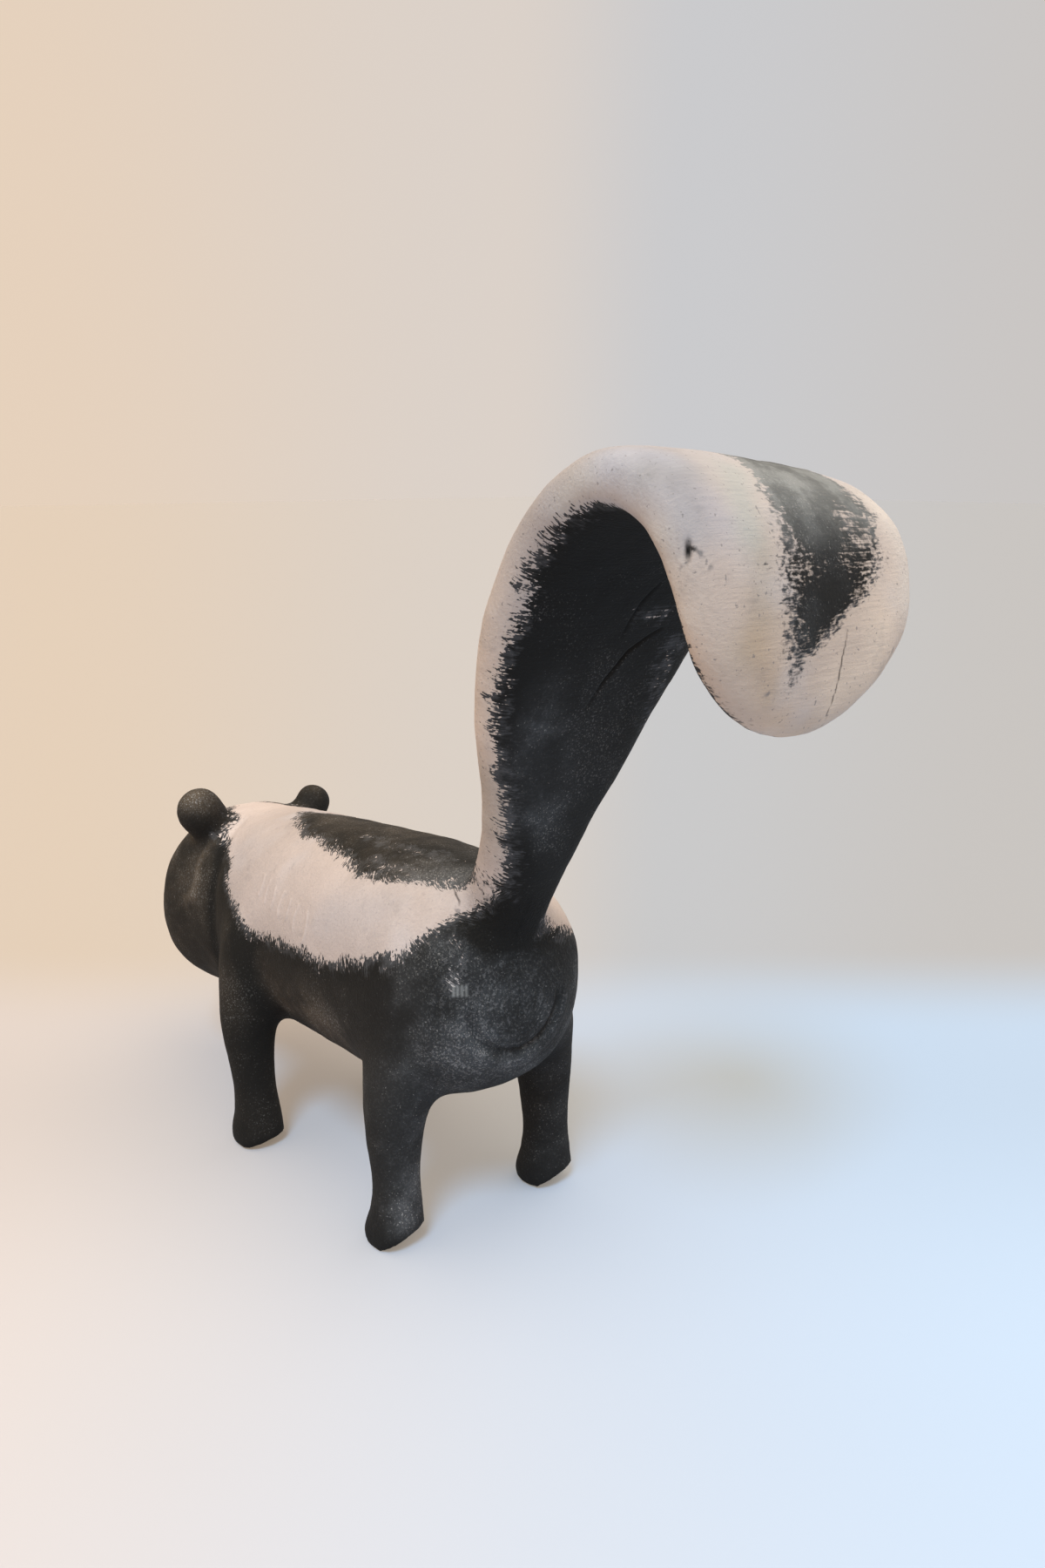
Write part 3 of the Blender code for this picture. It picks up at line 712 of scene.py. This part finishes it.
def vector_node(tree, operation, inputs, output="Vector"):
    return shader_node(tree, "ShaderNodeVectorMath", inputs, operation=operation).outputs[output]


def ramp_node(tree, value, start, end, low_value=0.0, high_value=1.0):
    """A value taken smoothly from one level to another between two ends."""
    inputs = {"Value": value, "From Min": start, "From Max": end,
              "To Min": low_value, "To Max": high_value}
    made = shader_node(tree, "ShaderNodeMapRange", inputs, interpolation_type="SMOOTHSTEP")
    return made.outputs["Result"]


def mix_value(tree, share, first, second):
    inputs = {"Factor": share, "A": first, "B": second}
    return shader_node(tree, "ShaderNodeMix", inputs).outputs["Result"]


def mix_colour(tree, share, first, second):
    made = shader_node(tree, "ShaderNodeMix", data_type="RGBA")
    for place, value in ((0, share), (6, first), (7, second)):
        if isinstance(value, bpy.types.NodeSocket):
            tree.links.new(value, made.inputs[place])
        else:
            made.inputs[place].default_value = value
    return made.outputs[2]


def noise_node(tree, vector, scale, detail=2.0, roughness=0.5):
    """Noise from 0 to 1; its scale is in marks per metre where the vector is a place."""
    inputs = {"Vector": vector, "Scale": scale, "Detail": detail, "Roughness": roughness}
    return shader_node(tree, "ShaderNodeTexNoise", inputs).outputs["Fac"]


SWING = 9.0


def swing_node(tree, vector, scale, detail=2.0):
    """Noise about 0 that is mostly within 1 either way."""
    noise = noise_node(tree, vector, scale, detail, 0.55)
    return times(tree, math_node(tree, "SUBTRACT", noise, 0.5), SWING)


NUMBER = "NodeSocketFloat"
VECTOR = "NodeSocketVector"
COLOUR = "NodeSocketColor"


def new_group(name, inputs, outputs):
    tree = bpy.data.node_groups.new(name, "ShaderNodeTree")
    for label, kind in inputs:
        tree.interface.new_socket(label, in_out="INPUT", socket_type=kind)
    for label, kind in outputs:
        tree.interface.new_socket(label, in_out="OUTPUT", socket_type=kind)
    return tree, tree.nodes.new("NodeGroupInput").outputs, tree.nodes.new("NodeGroupOutput").inputs


# A stiff brush leaves fine strokes across an edge: white ones that thin out over the charcoal,
# shorter charcoal ones in the white, and a grey scumble under both.
bristle_group, given, result = new_group(
    "bristle edge",
    [("Edge mm", NUMBER), ("Along mm", NUMBER), ("Raggedness", NUMBER), ("Slant", NUMBER),
     ("Softness", NUMBER), ("Position", VECTOR)],
    [("Cover", NUMBER), ("Scumble", NUMBER)])
STROKES_PER_MM = 0.80
FADES_PER_MM = 0.22
REACH_OVER_CHARCOAL = 3.0
REACH_INTO_WHITE = 1.6
UNEVEN_REACH = (0.75, 1.35)
SHARPEST_STEP = 0.22
HAZE_WIDTH = 4.5
HAZE_BEGINS = (-1.9, 0.3)
# How closely the marks at an edge lie, per metre.
BROAD_WANDER = 70.0
FINE_WANDER = 190.0
EDGE_DABS = 430.0
BRISTLE_TUFTS = 45.0
HAZE_CLOUDS = 150.0
spot = given["Position"]
broad_wander = swing_node(bristle_group, spot, BROAD_WANDER)
fine_wander = times(bristle_group, swing_node(bristle_group, spot, FINE_WANDER), 0.35)
edge_here = plus(bristle_group, given["Edge mm"], plus(bristle_group, broad_wander, fine_wander))
leaning = times(bristle_group, edge_here, given["Slant"])
stroke_across = times(bristle_group, plus(bristle_group, given["Along mm"], leaning), STROKES_PER_MM)
stroke_along = times(bristle_group, edge_here, FADES_PER_MM)
stroke_place = shader_node(bristle_group, "ShaderNodeCombineXYZ", {"X": stroke_across, "Y": stroke_along})
strokes = swing_node(bristle_group, stroke_place.outputs[0], 1.0)
dabs = times(bristle_group, swing_node(bristle_group, spot, EDGE_DABS), 0.55)
tufts = noise_node(bristle_group, spot, BRISTLE_TUFTS)
unevenness = ramp_node(bristle_group, tufts, 0.35, 0.65, *UNEVEN_REACH)
reach = ramp_node(bristle_group, edge_here, -1.5, 1.5, REACH_OVER_CHARCOAL, REACH_INTO_WHITE)
reach = times(bristle_group, reach, times(bristle_group, given["Raggedness"], unevenness))
inside = math_node(bristle_group, "DIVIDE", edge_here, reach)
level = plus(bristle_group, inside, plus(bristle_group, strokes, dabs))
half_step = plus(bristle_group, given["Softness"], SHARPEST_STEP)
cover = ramp_node(bristle_group, level, times(bristle_group, half_step, -1.0), half_step)
bristle_group.links.new(cover, result["Cover"])
cloud = plus(bristle_group, swing_node(bristle_group, spot, HAZE_CLOUDS, 3.0), strokes)
haze = math_node(bristle_group, "DIVIDE", edge_here, HAZE_WIDTH)
haze = plus(bristle_group, haze, times(bristle_group, cloud, 0.5))
bristle_group.links.new(ramp_node(bristle_group, haze, *HAZE_BEGINS), result["Scumble"])

# Rubbed grain and dust on charcoal paint: pale specks, thicker in some patches.
speckle_group, given, result = new_group(
    "rubbed specks",
    [("Position", VECTOR), ("Speck Scale", NUMBER), ("Patch Scale", NUMBER), ("Level", NUMBER)],
    [("Specks", NUMBER), ("Patches", NUMBER)])
grain = noise_node(speckle_group, given["Position"], given["Speck Scale"], 2.0, 0.6)
patch = noise_node(speckle_group, given["Position"], given["Patch Scale"], 5.0, 0.62)
spread = ramp_node(speckle_group, patch, 0.38, 0.66)
lifted = plus(speckle_group, grain, times(speckle_group, spread, 0.12))
over = math_node(speckle_group, "SUBTRACT", lifted, given["Level"])
speckle_group.links.new(ramp_node(speckle_group, over, 0.0, 0.14), result["Specks"])
speckle_group.links.new(spread, result["Patches"])

CHARCOAL = (0.0080, 0.0074, 0.0070, 1)
# Worn charcoal tones with painted light in them: warm in front, cool behind.
WORN_WARM_LIT_FRONT = (0.0720, 0.0545, 0.0400, 1)
WORN_COOL_LIT_BEHIND = (0.0560, 0.0590, 0.0650, 1)
DAB_GREY = (0.160, 0.158, 0.164, 1)
DUST = (0.300, 0.290, 0.285, 1)
SCUMBLE_GREY = (0.150, 0.150, 0.165, 1)
THIN_GREY = (0.500, 0.510, 0.510, 1)
WHITE_COOL = (0.500, 0.490, 0.540, 1)
SMUDGE_GREY = (0.150, 0.140, 0.145, 1)
CRACK_BLACK = (0.004, 0.004, 0.004, 1)
EYE_BLACK = (0.006, 0.006, 0.007, 1)

# How closely the paint's marks lie, per metre: brush lines along each axis, ring strokes round
# and across the rings, then specks, dabs, pits, grain, breaks in smudges, patches and clouds.
BRUSH_LINES = (55.0, 520.0, 620.0)
RING_STROKES = (110.0, 430.0)
SPECKS = 950.0
DABS = 620.0
PITS = 560.0
GRAIN = 600.0
SMUDGE_BREAKS = 260.0
THIN_CLOUDS = 70.0
GRUBBY_CLOUDS = 60.0
SPECK_PATCHES = 20.0
COOL_CLOUDS = 20.0
BROAD_CLOUDS = 12.0

paint = bpy.data.materials.new("brushed_charcoal_and_white_paint")
paint.use_nodes = True
tree = paint.node_tree
shader = next(n for n in tree.nodes if n.type == "BSDF_PRINCIPLED")
place = shader_node(tree, "ShaderNodeTexCoord").outputs["Object"]


def read_attribute(name, output):
    return shader_node(tree, "ShaderNodeAttribute", attribute_name=name).outputs[output]


def split(vector):
    return shader_node(tree, "ShaderNodeSeparateXYZ", {0: vector}).outputs


edge_mm, along_mm, ragged = split(read_attribute("paint_edge", "Vector"))
slanted, softened, thinned = split(read_attribute("brush_way", "Vector"))
# Dust with painted highlights and shade, smudges, and the cracks' shade.
dust_and_light_here, smudge, crack = split(read_attribute("wear_and_painted_light", "Vector"))
around_ring, off_middle, on_rump_here = split(read_attribute("rump_brush", "Vector"))
white_here = read_attribute("white_colour", "Vector")
gloss = read_attribute("face_gloss", "Fac")

bristles = shader_node(tree, "ShaderNodeGroup", node_tree=bristle_group)
for label, socket in (("Edge mm", edge_mm), ("Along mm", along_mm), ("Raggedness", ragged),
                      ("Slant", slanted), ("Softness", softened), ("Position", place)):
    tree.links.new(socket, bristles.inputs[label])
white_cover = bristles.outputs["Cover"]
SPECK_LEVEL = 0.665
specks = shader_node(tree, "ShaderNodeGroup", node_tree=speckle_group)
for label, value in (("Speck Scale", SPECKS), ("Patch Scale", SPECK_PATCHES), ("Level", SPECK_LEVEL)):
    specks.inputs[label].default_value = value
tree.links.new(place, specks.inputs["Position"])

# The charcoal is worn in patches, and the same patches carry the painted light and shade summed
# with the dust. Their tone is brownish in front and bluish behind: painted light, warm on the front
# and cool behind. Grey dabs lie on it, thickest on the rump, with dust, a scumble beside the white,
# and thin grey paint.
WEAR_BETWEEN_PATCHES = 0.25
DABS_ELSEWHERE = 0.25
DABS_ON_RUMP = 0.78
RING_PART_OF_DABS = 0.3
DUST_SHARE = 0.60
SCUMBLE_SHARE = 0.30
BEHIND_BEGINS = (-0.02, 0.10)
WEAR_AND_LIGHT_ELSEWHERE = 0.80
WEAR_AND_LIGHT_ON_RUMP = 0.72
THIN_SHARES = (0.23, 0.42)
wear_and_light_share = times(tree, plus(tree, specks.outputs["Patches"], WEAR_BETWEEN_PATCHES), dust_and_light_here)
towards_rear = ramp_node(tree, split(place)["Y"], *BEHIND_BEGINS)
worn_and_lit_tone = mix_colour(tree, towards_rear, WORN_WARM_LIT_FRONT, WORN_COOL_LIT_BEHIND)
wear_and_light_reach = ramp_node(tree, on_rump_here, 0.0, 1.0, WEAR_AND_LIGHT_ELSEWHERE, WEAR_AND_LIGHT_ON_RUMP)
charcoal = mix_colour(tree, times(tree, wear_and_light_share, wear_and_light_reach), CHARCOAL, worn_and_lit_tone)
ring_place = shader_node(tree, "ShaderNodeCombineXYZ", {"X": times(tree, around_ring, RING_STROKES[0]),
                                                        "Y": times(tree, off_middle, RING_STROKES[1])})
ring_strokes = times(tree, noise_node(tree, ring_place.outputs[0], 1.0, 3.0, 0.6), RING_PART_OF_DABS)
plain_dabs = noise_node(tree, place, DABS, 3.0, 0.70)
rump_dabs = plus(tree, ring_strokes, times(tree, plain_dabs, 1 - RING_PART_OF_DABS))
dabbed = ramp_node(tree, mix_value(tree, on_rump_here, plain_dabs, rump_dabs), 0.50, 0.62)
dab_reach = mix_value(tree, on_rump_here, DABS_ELSEWHERE, DABS_ON_RUMP)
charcoal = mix_colour(tree, times(tree, times(tree, dabbed, wear_and_light_share), dab_reach), charcoal, DAB_GREY)
speck_share = times(tree, specks.outputs["Specks"], plus(tree, dust_and_light_here, 0.25))
charcoal = mix_colour(tree, times(tree, speck_share, DUST_SHARE), charcoal, DUST)
scumble_share = times(tree, bristles.outputs["Scumble"], SCUMBLE_SHARE)
charcoal = mix_colour(tree, scumble_share, charcoal, SCUMBLE_GREY)
thin_patches = noise_node(tree, place, THIN_CLOUDS, 4.0, 0.6)
thin_patches = ramp_node(tree, thin_patches, 0.38, 0.62, *THIN_SHARES)
charcoal = mix_colour(tree, times(tree, thinned, thin_patches), charcoal, THIN_GREY)

# The white shows its brush lines, cool and grubby clouds, pits and smudges.
LINE_PART_OF_TONE = 0.3
SHADES_OF_WHITE = (0.88, 1.10)
MOST_COOL = 0.28
MOST_GRUBBY = 0.26
PITS_ON_BODY = 0.25
PITS_ON_TAIL = 0.60
MOST_SMUDGED = 0.80
brush_lines = noise_node(tree, vector_node(tree, "MULTIPLY", {0: place, 1: BRUSH_LINES}), 1.0, 3.0, 0.65)
broad_tones = noise_node(tree, place, BROAD_CLOUDS, 3.0)
broad_part = times(tree, broad_tones, 1 - LINE_PART_OF_TONE)
tone = plus(tree, broad_part, times(tree, brush_lines, LINE_PART_OF_TONE))
shade_of_white = ramp_node(tree, tone, 0.34, 0.66, *SHADES_OF_WHITE)
white = vector_node(tree, "SCALE", {0: white_here, "Scale": shade_of_white})
cool = noise_node(tree, place, COOL_CLOUDS, 2.0, 0.5)
white = mix_colour(tree, ramp_node(tree, cool, 0.50, 0.75, 0.0, MOST_COOL), white, WHITE_COOL)
grubby = noise_node(tree, place, GRUBBY_CLOUDS, 4.0, 0.65)
white = mix_colour(tree, ramp_node(tree, grubby, 0.56, 0.78, 0.0, MOST_GRUBBY), white, SMUDGE_GREY)
pits = ramp_node(tree, noise_node(tree, place, PITS, 1.0, 0.5), 0.68, 0.75)
pitted_share = ramp_node(tree, split(place)["Z"], 0.22, 0.27, PITS_ON_BODY, PITS_ON_TAIL)
white = mix_colour(tree, times(tree, pits, pitted_share), white, SMUDGE_GREY)
broken = plus(tree, smudge, times(tree, swing_node(tree, place, SMUDGE_BREAKS), 0.16))
white = mix_colour(tree, ramp_node(tree, broken, 0.25, 0.85, 0.0, MOST_SMUDGED), white, SMUDGE_GREY)

colour = mix_colour(tree, white_cover, charcoal, white)
colour = mix_colour(tree, crack, colour, CRACK_BLACK)
colour = mix_colour(tree, gloss, colour, EYE_BLACK)
tree.links.new(colour, shader.inputs["Base Color"])

CHARCOAL_ROUGHNESS = 0.74
WHITE_ROUGHNESS = 0.60
GLOSS_ON_FACE = 0.45
PAINT_SPECULAR = 0.14
rough = ramp_node(tree, white_cover, 0.0, 1.0, CHARCOAL_ROUGHNESS, WHITE_ROUGHNESS)
rough = math_node(tree, "SUBTRACT", rough, times(tree, gloss, GLOSS_ON_FACE))
tree.links.new(rough, shader.inputs["Roughness"])
shader.inputs["Specular IOR Level"].default_value = PAINT_SPECULAR

# The paint's skin: each of its marks with its height in millimetres.
brush_grain = noise_node(tree, place, GRAIN, 3.0, 0.6)
height = 0.0
for mark, rise in ((brush_grain, 0.32), (white_cover, 0.12), (grubby, 0.25), (brush_lines, 0.35),
                   (times(tree, rump_dabs, on_rump_here), 2.2)):
    height = plus(tree, height, times(tree, mark, rise))
relief = shader_node(tree, "ShaderNodeBump", {"Strength": 1.0, "Distance": MM, "Height": height})
tree.links.new(relief.outputs["Normal"], shader.inputs["Normal"])
skunk.data.materials.append(paint)

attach(skunk, "root")
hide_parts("skunk")


# The stand-in for a studio: a pale floor that runs into a pale room, warm on the picture's
# left and cool on its right, with a broad window above on the left. Near the figure the floor's
# colour carries painted light: warm on the left, cool on the right, and darker further into the
# picture where the light falls off. Away from the figure the floor's colour is painted light too:
# the room's tones, each divided by the light that falls on it, so no line parts them.
FLOOR_SIZE = 30.0
ACROSS_PICTURE = (-0.773, 0.634, 0.0)
INTO_PICTURE = (-0.634, -0.773, 0.0)
# Painted light in the floor's colour: warm on the left, cool on the right.
TABLE_LEFT_WARM_LIT = (0.527, 0.476, 0.472, 1)
TABLE_RIGHT_COOL_LIT = (0.398, 0.507, 0.688, 1)
TABLE_HALF_WIDTH = 0.40
PAINTED_FALLOFF = (1.05, 0.90)
FAR_BEHIND_BEGINS = (0.20, 0.40)
FAR_ROUND_BEGINS = (0.70, 1.70)
FLOOR_LIGHT = (1.751, 1.646, 1.473)
ROOM_TONES = [(0.00, (0.780, 0.630, 0.480, 1)), (0.31, (0.790, 0.640, 0.505, 1)),
              (0.49, (0.710, 0.640, 0.585, 1)), (0.56, (0.595, 0.595, 0.610, 1)),
              (0.69, (0.590, 0.565, 0.550, 1)), (1.00, (0.900, 0.880, 0.880, 1))]


def along_way(tree, vector, way):
    return vector_node(tree, "DOT_PRODUCT", {0: vector, 1: way}, "Value")


room_group, given, result = new_group("room tones", [("Direction", VECTOR)], [("Tone", COLOUR)])
sideways_here = along_way(room_group, given["Direction"], ACROSS_PICTURE)
turned = shader_node(room_group, "ShaderNodeMapRange",
                     {"Value": sideways_here, "From Min": -1.0, "From Max": 1.0})
wall_tones = shader_node(room_group, "ShaderNodeValToRGB", {"Fac": turned.outputs["Result"]})
wall_tones.color_ramp.interpolation = "EASE"
while len(wall_tones.color_ramp.elements) < len(ROOM_TONES):
    wall_tones.color_ramp.elements.new(0.5)
for element, (position, tone_colour) in zip(wall_tones.color_ramp.elements, ROOM_TONES):
    element.position = position
    element.color = tone_colour
room_group.links.new(wall_tones.outputs["Color"], result["Tone"])

bpy.ops.object.select_all(action="DESELECT")
bpy.ops.mesh.primitive_plane_add(size=FLOOR_SIZE, location=(0, 0, low.z))
floor = bpy.context.active_object
floor.name = "pale_floor"
floor_paint = bpy.data.materials.new("pale_floor_paint")
floor_paint.use_nodes = True
floor_tree = floor_paint.node_tree
floor_shader = next(n for n in floor_tree.nodes if n.type == "BSDF_PRINCIPLED")
floor_place = shader_node(floor_tree, "ShaderNodeTexCoord").outputs["Object"]
across_here = along_way(floor_tree, floor_place, ACROSS_PICTURE)
rightward = ramp_node(floor_tree, across_here, -TABLE_HALF_WIDTH, TABLE_HALF_WIDTH)
lit_table_tone = mix_colour(floor_tree, rightward, TABLE_LEFT_WARM_LIT, TABLE_RIGHT_COOL_LIT)
from_viewer = vector_node(floor_tree, "SUBTRACT", {0: floor_place, 1: (VIEW_PLACE[0], VIEW_PLACE[1], 0)})
far_tones = shader_node(floor_tree, "ShaderNodeGroup", node_tree=room_group)
viewed = vector_node(floor_tree, "NORMALIZE", {0: from_viewer})
floor_tree.links.new(viewed, far_tones.inputs["Direction"])
far_tone = vector_node(floor_tree, "DIVIDE", {0: far_tones.outputs["Tone"], 1: FLOOR_LIGHT})
depth_here = along_way(floor_tree, floor_place, INTO_PICTURE)
# Painted shade: the floor darkens further into the picture.
painted_falloff = ramp_node(floor_tree, depth_here, -0.20, 0.12, *PAINTED_FALLOFF)
lit_table_tone = vector_node(floor_tree, "SCALE", {0: lit_table_tone, "Scale": painted_falloff})
from_middle = vector_node(floor_tree, "LENGTH", {0: floor_place}, "Value")
far_off = math_node(floor_tree, "MAXIMUM", ramp_node(floor_tree, depth_here, *FAR_BEHIND_BEGINS),
                    ramp_node(floor_tree, from_middle, *FAR_ROUND_BEGINS))
floor_tone = mix_colour(floor_tree, far_off, lit_table_tone, far_tone)
floor_tree.links.new(floor_tone, floor_shader.inputs["Base Color"])
floor_shader.inputs["Roughness"].default_value = 0.6
floor_shader.inputs["Specular IOR Level"].default_value = 0.0
floor.data.materials.append(floor_paint)

CEILING_TONE = (0.170, 0.150, 0.150, 1)
CEILING_BEGINS = (0.30, 0.75)
room = bpy.data.worlds.new("pale_room")
room.use_nodes = True
room_tree = room.node_tree
room_light = next(n for n in room_tree.nodes if n.type == "BACKGROUND")
direction = shader_node(room_tree, "ShaderNodeTexCoord").outputs["Generated"]
walls = shader_node(room_tree, "ShaderNodeGroup", node_tree=room_group)
room_tree.links.new(direction, walls.inputs["Direction"])
upward = shader_node(room_tree, "ShaderNodeSeparateXYZ", {0: direction}).outputs["Z"]
overhead = ramp_node(room_tree, upward, *CEILING_BEGINS)
room_tone = mix_colour(room_tree, overhead, walls.outputs["Tone"], CEILING_TONE)
room_tree.links.new(room_tone, room_light.inputs["Color"])
room_light.inputs["Strength"].default_value = 1.0
bpy.context.scene.world = room
bpy.context.scene.view_settings.view_transform = "Standard"


def add_light(name, towards, energy, spread, colour, shadow=True):
    """A soft light from far away; towards is the direction from the figure to the light."""
    lamp = bpy.data.lights.new(name, "SUN")
    lamp.energy = energy
    lamp.angle = math.radians(spread)
    lamp.color = colour
    lamp.use_shadow = shadow
    holder = bpy.data.objects.new(name, lamp)
    holder.rotation_euler = Vector(towards).to_track_quat("Z", "Y").to_euler()
    bpy.context.scene.collection.objects.link(holder)


add_light("window_upper_left", (0.257, 0.204, 0.42), 2.1, 16, (0.42, 0.73, 1.0))
add_light("window_right", (-0.80, -0.15, 0.35), 0.45, 50, (1.0, 0.95, 0.88))
add_light("room_fill", (0.10, 0.10, 1.0), 3.60, 90, (1.0, 0.79, 0.51), shadow=False)
